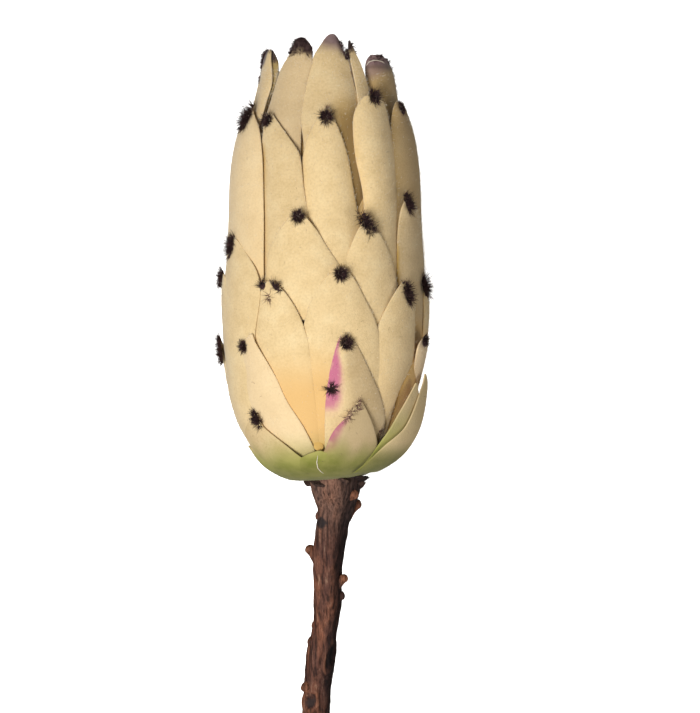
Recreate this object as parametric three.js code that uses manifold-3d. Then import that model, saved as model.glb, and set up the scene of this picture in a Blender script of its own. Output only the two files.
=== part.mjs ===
// A cut protea flower, lying on its side: a dense head of overlapping cream bracts, a whorl of
// green bracts at its base, and a woody stem with knobs that touches the ground at its cut end.
// Millimetres. The flower is made upright in its own frame, with its axis on Z, its base at
// height 0 and its face towards -Y, and a group then lays it down with its face up.
import * as THREE from "three";
import { mergeVertices } from "three/addons/utils/BufferGeometryUtils.js";
import Module from "manifold-3d";

const wasm = await Module();
wasm.setup();

// Driving dimensions: the gap between pieces that touch, and how the flower lies, by the tilt of
// its axis and the place of the foot of its head
const CLEARANCE = 0.3;
const HEAD_TILT = 1.5;
const FLOWER_BASE = { x: -0.12, y: 9.91, z: 28.3 };

// Radius of the head over its height: the outer green bracts, the cream bracts, the standing
// row at the top and the two rows of the closed bud inside it
const GREEN_RADIUS = [
  [0, 10.5], [2.5, 16.6], [6, 21], [11, 24.6], [17, 27.2], [26, 29.3], [32, 30.4],
];
const BODY_RADIUS = [
  [0, 8], [2.5, 14.4], [6, 18.8], [11, 22.7], [17, 25.5], [26, 28], [33, 29.5], [40, 30.4],
  [50, 30.7], [62, 30], [75, 28.8], [90, 27.9], [100, 26.5], [107, 25], [115, 23.4],
];
const CROWN_RADIUS = [
  [70, 26.6], [85, 26.7], [95, 25.9], [100, 25], [105, 23.8], [111, 22], [118, 20.5],
  [124, 19.1], [128, 17.3], [131, 15],
];
const HEART_RADIUS = [[90, 14.5], [105, 14], [113, 12.6], [118, 10.2], [121, 7.5]];
const MIDDLE_RADIUS = [[90, 7.5], [105, 7.4], [113, 6.6], [118, 4.6], [121, 2.4]];

// The dense core that the bracts stand out of lies inset from the cream bracts, and from the
// standing row above its shoulder, and a low cap of radius and height closes it
const CORE = {
  heights: [2, 8, 16, 28, 45, 65, 84, 95, 105], shoulder: 86, inset: 3.6, crownInset: 1.6,
  cap: [[12, 109], [0, 111]], sides: 16,
};

// Whorls of bracts, with the measures that their bracts share. length is how far a bract runs
// down from its point, half its greatest half width, spread how far below the point the width
// grows, crown how far the margins fall away, thick the thickness, sink how deep the root lies,
// rise how far the face stands above the profile, and tuft the size of the hair tuft.
const WHORLS = {
  middle: { profile: MIDDLE_RADIUS, length: 14, half: 4.2, spread: 4, crown: 1.2, thick: 1.6,
    sink: 1, rise: 0, tuft: 0 },
  heart: { profile: HEART_RADIUS, length: 18, half: 6, spread: 5, crown: 1.6, thick: 1.5,
    sink: 1, rise: 0, tuft: 0 },
  crown: { profile: CROWN_RADIUS, length: 36, half: 7.4, spread: 6.4, crown: 2, thick: 1.6,
    sink: 1.3, rise: 0, tuft: 0 },
  upper: { profile: BODY_RADIUS, length: 36, half: 8.4, spread: 8, crown: 2.2, thick: 7.2,
    sink: 3.9, rise: 0.2, tuft: 2.6 },
  third: { profile: BODY_RADIUS, length: 30, half: 11, spread: 10, crown: 1.7, thick: 5.4,
    sink: 3.9, rise: 0.2, tuft: 2.6 },
  fourth: { profile: BODY_RADIUS, length: 46, half: 12, spread: 11, crown: 1.7, thick: 5.4,
    sink: 3.9, rise: 0.2, tuft: 2.7 },
  fifth: { profile: BODY_RADIUS, length: 32, half: 12.5, spread: 13, crown: 1.5, thick: 5.4,
    sink: 2.6, rise: 0.3, tuft: 2.3 },
  lower: { profile: BODY_RADIUS, length: 18, half: 8, spread: 8, crown: 1.2, thick: 5.4,
    sink: 2, rise: 0.2, tuft: 1.8 },
  green: { profile: GREEN_RADIUS, length: 30, half: 13, spread: 11, crown: 0.4, thick: 1.3,
    sink: 0, rise: 0, tuft: 2 },
};

// Bracts on the side that faces up, each with the angle and the height of its point. lean turns
// the point to the side in degrees, and flare moves it out.
const FACE_BRACTS = {
  middle: [],
  heart: [],
  crown: [
    { angle: -59, tip: 126.4, half: 4.4, lean: -2 }, { angle: -27, tip: 129.2, lean: 4, half: 6.8 },
    { angle: 0, tip: 130.4, lean: 6 }, { angle: 33, tip: 128, half: 2.6, lean: -6, rise: -1.2 },
    { angle: 60, tip: 124.6, half: 9, lean: -3 },
  ],
  upper: [
    { angle: -67, tip: 108, half: 9.6, lean: -8, length: 50 },
    { angle: -26, tip: 107.6, half: 6.8, lean: -18, length: 50 },
    { angle: 3, tip: 108.6, half: 8.6, spread: 11, lean: -2, length: 48 },
    { angle: 34, tip: 113.6, half: 7.4, spread: 5, lean: 2, length: 48 },
    { angle: 69, tip: 109.6, lean: -6, length: 52 },
  ],
  third: [
    { angle: -16, tip: 78, lean: 0 }, { angle: 29, tip: 77.2, half: 9.6, lean: -7 },
    { angle: 60, tip: 82, lean: -4 },
  ],
  fourth: [
    { angle: -96, tip: 61, lean: 4 }, { angle: -66, tip: 69, lean: -5, rise: -0.3, spread: 9 },
    { angle: -28, tip: 57.6, half: 10, lean: -5, spread: 9 }, { angle: 9, tip: 61.6, half: 13 },
    { angle: 44, tip: 57, half: 8.6, lean: 2, spread: 8 }, { angle: 88, tip: 58, lean: 2 },
  ],
  fifth: [
    { angle: -92, tip: 40, half: 10 }, { angle: -40, tip: 41, half: 14, lean: -8 },
    { angle: 20, tip: 40.6, half: 10, lean: -10, spread: 10 }, { angle: 76, tip: 41.6, half: 7.6 },
  ],
  lower: [],
  green: [
    { angle: -88, tip: 13, half: 12 }, { angle: -48, tip: 18, half: 20, spread: 12 },
    { angle: 20, tip: 22.8, half: 11, spread: 9 }, { angle: 66, tip: 28, tuft: 0 },
    { angle: 85, tip: 30.4, half: 13, rise: 1, flare: -1.3, tuft: 0 },
  ],
};

// Bracts on the far side: count of them fill an arc evenly, but for small random shifts
const FAR_BRACTS = {
  middle: { from: -30, to: 330, count: 2, tip: 117 },
  heart: { from: 20, to: 380, count: 5, tip: 119 },
  crown: { from: 90, to: 288, count: 5, tip: 121, half: 7.8 },
  upper: { from: 92, to: 262, count: 4, tip: 108, half: 10.6 },
  third: { from: 86, to: 284, count: 5, tip: 79 },
  fourth: { from: 98, to: 262, count: 3, tip: 60, half: 13.4 },
  fifth: { from: 92, to: 262, count: 4, tip: 40 },
  lower: { from: 85, to: 300, count: 3, tip: 24 },
  green: { from: 98, to: 250, count: 3, tip: 21 },
};
const SHIFT = { seed: 20, angle: 3, tip: 2.2, lean: 6 };

// The lowest roots of the green and the cream bracts
const ROOT = { green: 0.4, cream: 4 };

// Shape of every bract: the half width of its point, the distances below it over which flare and
// lean fade out and the crown fades in, and the powers of the sink down the bract, of the crown
// across it and of its steps, which lie closer near the point
const BRACT = {
  point: 0.5, flareFade: 7, leanFade: 9, crownFade: 5, sinkPower: 1.4, crownPower: 2.2,
  stepPower: 1.5, leastThick: 1, across: 4, along: 4,
};

// A tuft, in parts of its size: a star with this many corners on a narrow root, whose rim falls
// as it reaches out and whose middle stands up; drop is its distance below the bract's point
const TUFT = {
  corners: 6, drop: 1.4, root: 0.4, height: 0.6, inner: 0.42, uneven: 0.25, rim: 0.5, fall: 0.3,
  top: 0.8,
};

// The green base: a dish of radius, height and the way that its clearance goes up or down, and
// the stem's pin that stands in its socket
const DISH = { outline: [[8, 0, -1], [12.4, 1.2, -1], [16.4, 3.4, 0], [18, 5, 1]], sides: 20 };
const PIN = { radius: 3, top: 3.4, socketDepth: 5, root: 6, sides: 12 };

// The stem's route: height, sideways place, depth towards the ground, and radius
const STEM_ROUTE = [
  [-0.3, 2.6, 0, 7.2], [-4, 2.7, 0.1, 6.6], [-9, 2.6, 0.6, 5.4], [-15, 1.6, 1.3, 4.8],
  [-27, 0.4, 2.8, 4.2], [-38, 0.4, 4.7, 4], [-50, -1.2, 7, 4], [-60, -2.4, 9, 4],
  [-69, -2.9, 10.8, 4.1], [-90, -3, 14.6, 4], [-112, -1.6, 17.9, 3.9], [-134, 0, 20, 3.9],
  [-150, 0.8, 20.9, 3.9],
];
const STEM_SIDES = 10;
const STEM_RINGS = 38;

// Knobs of the stem, left where leaves stood: height of the root on the stem's middle line, the
// way it points, reach, radius and rise for each unit outwards
const KNOBS = [
  { height: -7.6, angle: 55, reach: 8.7, radius: 1.6, pitch: 0.38 },
  { height: -15.8, angle: 97, reach: 12.4, radius: 1.8, pitch: 1.06 },
  { height: -12.5, angle: -86, reach: 5.4, radius: 1.9, pitch: 0.3 },
  { height: -27.4, angle: -82, reach: 9.4, radius: 1.6, pitch: 1.15 },
  { height: -33.5, angle: 70, reach: 7.5, radius: 1.5, pitch: 0.7 },
  { height: -35.9, angle: 88, reach: 5.2, radius: 1.9, pitch: 0.2 },
  { height: -49.7, angle: -88, reach: 4.6, radius: 2, pitch: 0.3 },
  { height: -64.6, angle: -44, reach: 6.6, radius: 2, pitch: 0.5 },
  { height: -24, angle: 170, reach: 8, radius: 1.7, pitch: 0.8 },
  { height: -48, angle: 205, reach: 7.6, radius: 1.7, pitch: 0.8 },
  { height: -83, angle: 60, reach: 7.8, radius: 1.7, pitch: 0.9 },
  { height: -96, angle: -60, reach: 7.4, radius: 1.7, pitch: 0.8 },
  { height: -111, angle: 96, reach: 7.6, radius: 1.6, pitch: 0.9 },
  { height: -127, angle: -92, reach: 7.4, radius: 1.7, pitch: 0.8 },
];
const KNOB = { sides: 6, steps: 2, tip: 0.72, root: 1.25 };

// Bark flakes that stand off the collar under the head, narrower at their tips
const FLAKES = [
  { angle: 88, reach: 9.6, width: 5, height: -2.2 }, { angle: 40, reach: 8.4, width: 6, height: -2.4 },
  { angle: -70, reach: 8.6, width: 6, height: -2.2 }, { angle: 160, reach: 8.8, width: 6, height: -2.1 },
  { angle: 230, reach: 8.4, width: 6, height: -2.4 },
];
const FLAKE = { thick: 0.9, tip: 0.45, lift: 4 };

const random = (() => {
  let state = SHIFT.seed;
  return () => {
    state = (state * 1664525 + 1013904223) % 4294967296;
    return state / 4294967296;
  };
})();
const jitter = (amount) => (random() * 2 - 1) * amount;
const radians = THREE.MathUtils.degToRad;

// Smooth curve through the points of a profile, as a value at x
function along(profile, x) {
  const last = profile.length - 1;
  let i = 0;
  while (i < last - 1 && x > profile[i + 1][0]) i += 1;
  const [x0, y0] = profile[i];
  const [x1, y1] = profile[i + 1];
  const slope = (a, b) => (profile[b][1] - profile[a][1]) / (profile[b][0] - profile[a][0]);
  const m0 = slope(Math.max(i - 1, 0), i + 1) * (x1 - x0);
  const m1 = slope(i, Math.min(i + 2, last)) * (x1 - x0);
  const t = THREE.MathUtils.clamp((x - x0) / (x1 - x0), 0, 1);
  const t2 = t * t;
  const t3 = t2 * t;
  return (2 * t3 - 3 * t2 + 1) * y0 + (t3 - 2 * t2 + t) * m0 + (3 * t2 - 2 * t3) * y1 + (t3 - t2) * m1;
}

// Place of a point given by angle, radius and height: angle 0 faces -Y and 90 faces +X
function around(angle, radius, height) {
  const turn = radians(angle);
  return new THREE.Vector3(radius * Math.sin(turn), -radius * Math.cos(turn), height);
}

// Point on a bract: drop is the distance below its point, and side runs from -1 to 1 across it.
// The inner face lies at a fixed depth, sunk into the core on all but the standing rows.
function bractPoint(bract, drop, side, inner = false) {
  const height = bract.tip - drop;
  const profile = along(bract.profile, height);
  const half = bract.half * (1 - Math.exp(-drop / bract.spread)) + BRACT.point;
  const flare = bract.flare * Math.exp(-drop / BRACT.flareFade);
  const sink = bract.sink * (drop / bract.length) ** BRACT.sinkPower;
  const radius = profile + bract.rise + flare - sink;
  const fall = bract.crown * Math.abs(side) ** BRACT.crownPower;
  const outer = radius - fall * Math.min(1, drop / BRACT.crownFade);
  const reach = inner ? Math.min(profile - bract.thick, outer - BRACT.leastThick) : outer;
  const angle = bract.angle + bract.lean * Math.exp(-drop / BRACT.leanFade);
  const turn = THREE.MathUtils.radToDeg((side * half) / radius);
  return around(angle + turn, Math.max(reach, 1), height);
}

// A bract is a box with steps along and across it, bent to the surface of its whorl
function bractGeometry(bract) {
  const box = new THREE.BoxGeometry(2, 1, 1, BRACT.across, BRACT.along, 1);
  const place = box.attributes.position;
  for (let i = 0; i < place.count; i += 1) {
    const drop = bract.length * (0.5 - place.getY(i)) ** BRACT.stepPower;
    const point = bractPoint(bract, drop, place.getX(i), place.getZ(i) < 0);
    place.setXYZ(i, point.x, point.y, point.z);
  }
  return box;
}

// The room that a green bract takes, with its clearance
function roomGeometry(bract) {
  const half = bract.half + CLEARANCE;
  const tip = bract.tip + CLEARANCE;
  const thick = bract.thick + CLEARANCE;
  return bractGeometry({ ...bract, half, tip, thick, rise: bract.rise + CLEARANCE });
}

// A tuft has its root sunk into the bract, and every second corner of its rim is drawn out
function tuftGeometry(bract) {
  const { corners } = TUFT;
  const star = new THREE.CylinderGeometry(1, TUFT.root, TUFT.height, corners, 1);
  const place = star.attributes.position;
  const drawnOut = () => 1 + jitter(TUFT.uneven);
  const reach = Array.from({ length: corners }, (_, k) => (k % 2 ? TUFT.inner : drawnOut()));
  for (let i = 0; i < place.count; i += 1) {
    if (place.getY(i) < 0) continue;
    const turn = Math.atan2(place.getX(i), place.getZ(i)) / (2 * Math.PI) + 1;
    const onRim = Math.hypot(place.getX(i), place.getZ(i)) > 0.5;
    const wide = onRim ? reach[Math.round(turn * corners) % corners] : 0;
    const high = onRim ? TUFT.rim - TUFT.fall * wide : TUFT.top;
    place.setXYZ(i, place.getX(i) * wide, high, place.getZ(i) * wide);
  }
  const centre = bractPoint(bract, TUFT.drop, 0);
  const outward = new THREE.Vector3(centre.x, centre.y, 0).normalize();
  const stand = new THREE.Quaternion().setFromUnitVectors(new THREE.Vector3(0, 1, 0), outward);
  star.scale(bract.tuft, bract.tuft, bract.tuft).applyQuaternion(stand);
  return star.translate(centre.x, centre.y, centre.z);
}

// All bracts of a whorl, the placed ones first
function whorl(name) {
  const far = FAR_BRACTS[name];
  const common = { lean: 0, flare: 0, ...WHORLS[name] };
  const rows = FACE_BRACTS[name].map((bract) => ({ ...common, ...bract }));
  for (let i = 1; i <= far.count; i += 1) {
    const middle = far.from + ((far.to - far.from) * i) / (far.count + 1);
    const angle = middle + jitter(SHIFT.angle);
    const tip = far.tip + jitter(SHIFT.tip);
    const half = far.half ?? common.half;
    rows.push({ ...common, half, angle, tip, lean: jitter(SHIFT.lean) });
  }
  const root = name === "green" ? ROOT.green : ROOT.cream;
  for (const bract of rows) bract.length = Math.min(bract.length, bract.tip - root);
  return rows;
}

// Closed geometry to solid and back
function toSolid(geometry) {
  const bare = geometry.clone();
  bare.deleteAttribute("normal");
  bare.deleteAttribute("uv");
  const merged = mergeVertices(bare, 1e-5);
  const mesh = new wasm.Mesh({
    numProp: 3,
    vertProperties: Float32Array.from(merged.attributes.position.array),
    triVerts: Uint32Array.from(merged.index.array),
  });
  return new wasm.Manifold(mesh);
}

function fuse(solids) {
  return solids.reduce((whole, solid) => whole.add(solid));
}

// The largest connected body of a solid, as geometry: scraps that a cut leaves are dropped
function toGeometry(solid) {
  const { vertProperties, triVerts, numProp } = solid.getMesh();
  const flat = new THREE.BufferGeometry();
  const points = [];
  for (let i = 0; i < vertProperties.length; i += numProp) {
    points.push(vertProperties[i], vertProperties[i + 1], vertProperties[i + 2]);
  }
  flat.setAttribute("position", new THREE.Float32BufferAttribute(points, 3));
  flat.setIndex(Array.from(triVerts));
  const merged = mergeVertices(flat, 1e-5);
  const index = merged.index.array;
  const parent = Array.from({ length: merged.attributes.position.count }, (_, i) => i);
  const root = (i) => {
    while (parent[i] !== i) {
      parent[i] = parent[parent[i]];
      i = parent[i];
    }
    return i;
  };
  for (let i = 0; i < index.length; i += 3) {
    parent[root(index[i])] = root(index[i + 1]);
    parent[root(index[i + 1])] = root(index[i + 2]);
  }
  const bodies = new Map();
  for (let i = 0; i < index.length; i += 3) {
    const key = root(index[i]);
    if (!bodies.has(key)) bodies.set(key, []);
    bodies.get(key).push(index[i], index[i + 1], index[i + 2]);
  }
  const largest = [...bodies.values()].sort((a, b) => b.length - a.length)[0];
  merged.setIndex(largest);
  const body = merged.toNonIndexed();
  body.computeVertexNormals();
  return body;
}

// Solid turned from an outline of radius and height, which is closed on the axis
function turned(outline, sides) {
  const points = [[0, outline[0][1]], ...outline];
  if (outline.at(-1)[0] > 0) points.push([0, outline.at(-1)[1]]);
  const lathe = new THREE.LatheGeometry(points.map(([r, h]) => new THREE.Vector2(r, h)), sides);
  return lathe.rotateX(Math.PI / 2);
}

function coreGeometry() {
  const wall = CORE.heights.map((height) => {
    const body = along(BODY_RADIUS, height) - CORE.inset;
    return [height < CORE.shoulder ? body : along(CROWN_RADIUS, height) - CORE.crownInset, height];
  });
  return turned([...wall, ...CORE.cap], CORE.sides);
}

// The dish that the green bracts grow from, grown by a clearance where it is room for it
function dishGeometry(grow) {
  const outline = DISH.outline.map(([radius, height, way]) => [radius + grow, height + way * grow]);
  return turned(outline, DISH.sides);
}

function pinGeometry(radius, bottom, top) {
  const pin = new THREE.CylinderGeometry(radius, radius, top - bottom, PIN.sides);
  return pin.rotateX(Math.PI / 2).translate(STEM_ROUTE[0][1], 0, (top + bottom) / 2);
}

// Middle and radius of the stem, from 0 at its top to 1 at its cut end
function stemShape(t) {
  const height = STEM_ROUTE[0][0] + (STEM_ROUTE.at(-1)[0] - STEM_ROUTE[0][0]) * t;
  const pick = (column) => along(STEM_ROUTE.map((row) => [-row[0], row[column]]), -height);
  return { centre: new THREE.Vector3(pick(1), pick(2), height), radius: pick(3) };
}

// Point on the bark: ridges wind round the stem, and swells come along it
function barkPoint(t, turn) {
  const step = 0.002;
  const here = stemShape(t);
  const ahead = stemShape(Math.min(t + step, 1)).centre;
  const behind = stemShape(Math.max(t - step, 0)).centre;
  const direction = ahead.sub(behind).normalize();
  const side = new THREE.Vector3(1, 0, 0).addScaledVector(direction, -direction.x).normalize();
  const up = new THREE.Vector3().crossVectors(direction, side);
  const ridges = 0.055 * Math.sin(5 * turn + 9 * t) + 0.04 * Math.sin(3 * turn - 14 * t + 1);
  const swell = 0.05 * Math.sin(31 * t + 2) + 0.04 * Math.sin(57 * t);
  const radius = here.radius * (1 + ridges + swell);
  return here.centre.clone().addScaledVector(side, Math.cos(turn) * radius)
    .addScaledVector(up, Math.sin(turn) * radius);
}

function stemGeometry() {
  const stick = new THREE.CylinderGeometry(1, 1, 1, STEM_SIDES, STEM_RINGS);
  const place = stick.attributes.position;
  for (let i = 0; i < place.count; i += 1) {
    const t = 0.5 - place.getY(i);
    const reach = Math.hypot(place.getX(i), place.getZ(i));
    const turn = Math.atan2(place.getZ(i), place.getX(i));
    const point = reach < 0.5 ? stemShape(t).centre : barkPoint(t, turn);
    place.setXYZ(i, point.x, point.y, point.z);
  }
  return stick;
}

function knobGeometry({ height, angle, reach, radius, pitch }) {
  const knob = new THREE.CylinderGeometry(
    radius * KNOB.tip, radius * KNOB.root, reach, KNOB.sides, KNOB.steps,
  );
  knob.translate(0, reach / 2, 0);
  const out = around(angle, 1, pitch).normalize();
  knob.applyQuaternion(new THREE.Quaternion().setFromUnitVectors(new THREE.Vector3(0, 1, 0), out));
  const t = (STEM_ROUTE[0][0] - height) / (STEM_ROUTE[0][0] - STEM_ROUTE.at(-1)[0]);
  const root = stemShape(t).centre;
  return knob.translate(root.x, root.y, root.z);
}

function flakeGeometry({ angle, reach, width, height }) {
  const flake = new THREE.BoxGeometry(width, reach, FLAKE.thick);
  const place = flake.attributes.position;
  for (let i = 0; i < place.count; i += 1) {
    if (place.getY(i) > 0) place.setX(i, place.getX(i) * FLAKE.tip);
  }
  flake.translate(0, reach / 2, 0).rotateX(radians(FLAKE.lift)).rotateZ(radians(180 - angle));
  return flake.translate(STEM_ROUTE[0][1], 0, height);
}

const laid = new THREE.Group();
laid.rotation.x = radians(HEAD_TILT - 90);
laid.position.set(FLOWER_BASE.x, FLOWER_BASE.y, FLOWER_BASE.z);
laid.updateMatrix();

// The ground, in the flower's own frame: what would sink into it is cut to a flat spot
const ground = toSolid(
  new THREE.BoxGeometry(400, 600, 60).translate(0, 0, -30).applyMatrix4(laid.matrix.clone().invert()),
);

function addNode(name, solid, color, roughness) {
  const material = new THREE.MeshStandardMaterial({ color, roughness, metalness: 0 });
  const mesh = new THREE.Mesh(toGeometry(solid.subtract(ground)), material);
  mesh.name = name;
  laid.add(mesh);
}

const cream = ["fourth", "fifth", "lower", "third", "upper", "crown", "heart", "middle"].flatMap(whorl);
const greens = whorl("green");

const head = fuse([coreGeometry(), ...cream.map(bractGeometry)].map(toSolid));
const tufts = fuse(cream.filter((b) => b.tuft > 0).map((b) => toSolid(tuftGeometry(b))));
const greenRoom = fuse([dishGeometry(CLEARANCE), ...greens.map(roomGeometry)].map(toSolid));
addNode("flower_head", head.add(tufts).subtract(greenRoom), 0xe6cfa4, 0.9);

const greenTufts = greens.filter((b) => b.tuft > 0).map(tuftGeometry);
const greenWhole = fuse([dishGeometry(0), ...greens.map(bractGeometry), ...greenTufts].map(toSolid));
const socket = toSolid(
  pinGeometry(PIN.radius + CLEARANCE, -PIN.socketDepth, PIN.top + CLEARANCE),
);
addNode("green_bracts", greenWhole.subtract(socket), 0xa9a763, 0.85);

const stem = fuse([stemGeometry(), pinGeometry(PIN.radius, -PIN.root, PIN.top),
  ...KNOBS.map(knobGeometry), ...FLAKES.map(flakeGeometry)].map(toSolid));
addNode("stem", stem, 0x5a382c, 0.75);

const group = new THREE.Group();
group.add(laid);
export default group;
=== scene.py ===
"""Looks of a cut protea flower that lies on its side: felted cream bracts with dark hair tufts,
green outer bracts and a knobbly bark stem. Shapes are worked out in millimetres in the flower's
own frame, upright with its face towards -Y, and laid down in metres at the end."""

import math

import bmesh
import bpy
from mathutils import Matrix, Vector, noise


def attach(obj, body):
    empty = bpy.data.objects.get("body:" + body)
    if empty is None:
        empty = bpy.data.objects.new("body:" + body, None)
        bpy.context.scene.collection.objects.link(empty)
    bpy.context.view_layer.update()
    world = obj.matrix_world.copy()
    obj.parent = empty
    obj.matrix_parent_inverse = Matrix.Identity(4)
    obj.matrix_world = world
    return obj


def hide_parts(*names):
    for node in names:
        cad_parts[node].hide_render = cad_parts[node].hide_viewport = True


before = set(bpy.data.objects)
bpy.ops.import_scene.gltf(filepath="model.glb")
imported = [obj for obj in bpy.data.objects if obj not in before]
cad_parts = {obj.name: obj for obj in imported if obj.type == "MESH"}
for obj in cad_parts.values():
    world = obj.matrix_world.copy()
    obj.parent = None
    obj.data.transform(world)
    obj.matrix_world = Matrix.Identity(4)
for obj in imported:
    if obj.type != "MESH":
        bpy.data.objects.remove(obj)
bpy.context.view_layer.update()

# The head's tilt in degrees, the place of its foot in millimetres as the flower lies, and the
# least height over the ground in metres
HEAD_TILT = 1.5
FLOWER_BASE = Vector((-0.12, 9.91, 28.3))
TO_WORLD = (
    Matrix.Scale(0.001, 4)
    @ Matrix.Translation(FLOWER_BASE)
    @ Matrix.Rotation(math.radians(HEAD_TILT - 90), 4, "X")
)
GROUND = 0.00015

# Radius of each whorl and of the parts inside by height, in millimetres up from the foot
# of the head
GREEN_RADIUS = [(-1, 8.6), (0, 12.4), (2.5, 17.7), (6, 21.8), (11, 25), (17, 27.4), (26, 29.3),
                (32, 30.4)]
BODY_RADIUS = [
    (0, 8), (2.5, 14.4), (6, 18.8), (11, 22.7), (17, 25.5), (26, 28), (33, 29.5), (40, 30.4),
    (50, 30.7), (62, 30), (75, 28.8), (90, 27.9), (100, 26.5), (107, 25), (115, 23.4),
]
CROWN_RADIUS = [
    (70, 26.6), (85, 26.7), (95, 25.9), (100, 25), (105, 23.8), (111, 22), (118, 20.5),
    (124, 19.1), (128, 17.3), (131, 15),
]
HEART_RADIUS = [(90, 14.5), (105, 14), (113, 12.6), (118, 10.2), (121, 7.5)]
MIDDLE_RADIUS = [(90, 7.5), (105, 7.4), (113, 6.6), (118, 4.6), (121, 2.4)]
CORE_RADIUS = [
    (2, 8), (8, 16.5), (16, 21.4), (28, 24.8), (45, 27), (65, 26), (84, 24.4), (95, 22.6),
    (103, 20), (107, 15), (109, 9),
]
# Middle height of the core, and half of its height
CORE_MIDDLE = 55.5
CORE_HALF = 53.5
# Angle, radius and height of the ochre pad
PAD_PLACE = (-6, 20.1, 9.4)
# Profile of the flat bract on the right, whose face runs straight down
STRAIGHT_RADIUS = [(4, 18), (11, 22.6), (17, 25.2), (26, 27.6), (34, 28.8), (58, 29.4), (72, 28.9),
                   (92, 28.6)]
# Outline of the green base: radius and height
BASE_OUTLINE = [
    (0, -0.7), (5, -0.7), (8, -0.6), (11, 0), (13.8, 1.1), (16.2, 2.6), (17.8, 4.2),
    (18, 5.2), (16, 5.8), (0, 6),
]

# One row for each whorl: its profile, then length, half width, spread of the point, crown,
# depth of the root, rise, size of the tuft and the lift of one margin over the next
WHORLS = {
    "middle": (MIDDLE_RADIUS, 14, 4.2, 4, 1.2, 1, 0, 0, 0.4),
    "heart": (HEART_RADIUS, 18, 6, 5, 1.6, 1, 0, 0, 0.5),
    "crown": (CROWN_RADIUS, 40, 7.4, 6.4, 1.8, 1.3, 0, 0, 0.3),
    "upper": (BODY_RADIUS, 36, 8.4, 8, 1.9, 2.2, 0, 1, 0.35),
    "third": (BODY_RADIUS, 30, 11, 10, 1.1, 1.95, 0, 1, 0.25),
    "fourth": (BODY_RADIUS, 46, 12, 11, 0.9, 1.8, 0, 1.05, 0.2),
    "fifth": (BODY_RADIUS, 32, 12.5, 13, 0.8, 0.8, 0.35, 0.95, 0.15),
    "lower": (BODY_RADIUS, 18, 8, 8, 0.6, 1.2, 0, 0.8, 0.1),
    "green": (GREEN_RADIUS, 30, 13, 11, 0.3, 0, 0, 0.8, 0.1),
}
WHORL_KEYS = ("profile", "length", "half", "spread", "crown", "sink", "rise", "tuft", "lap")

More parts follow.
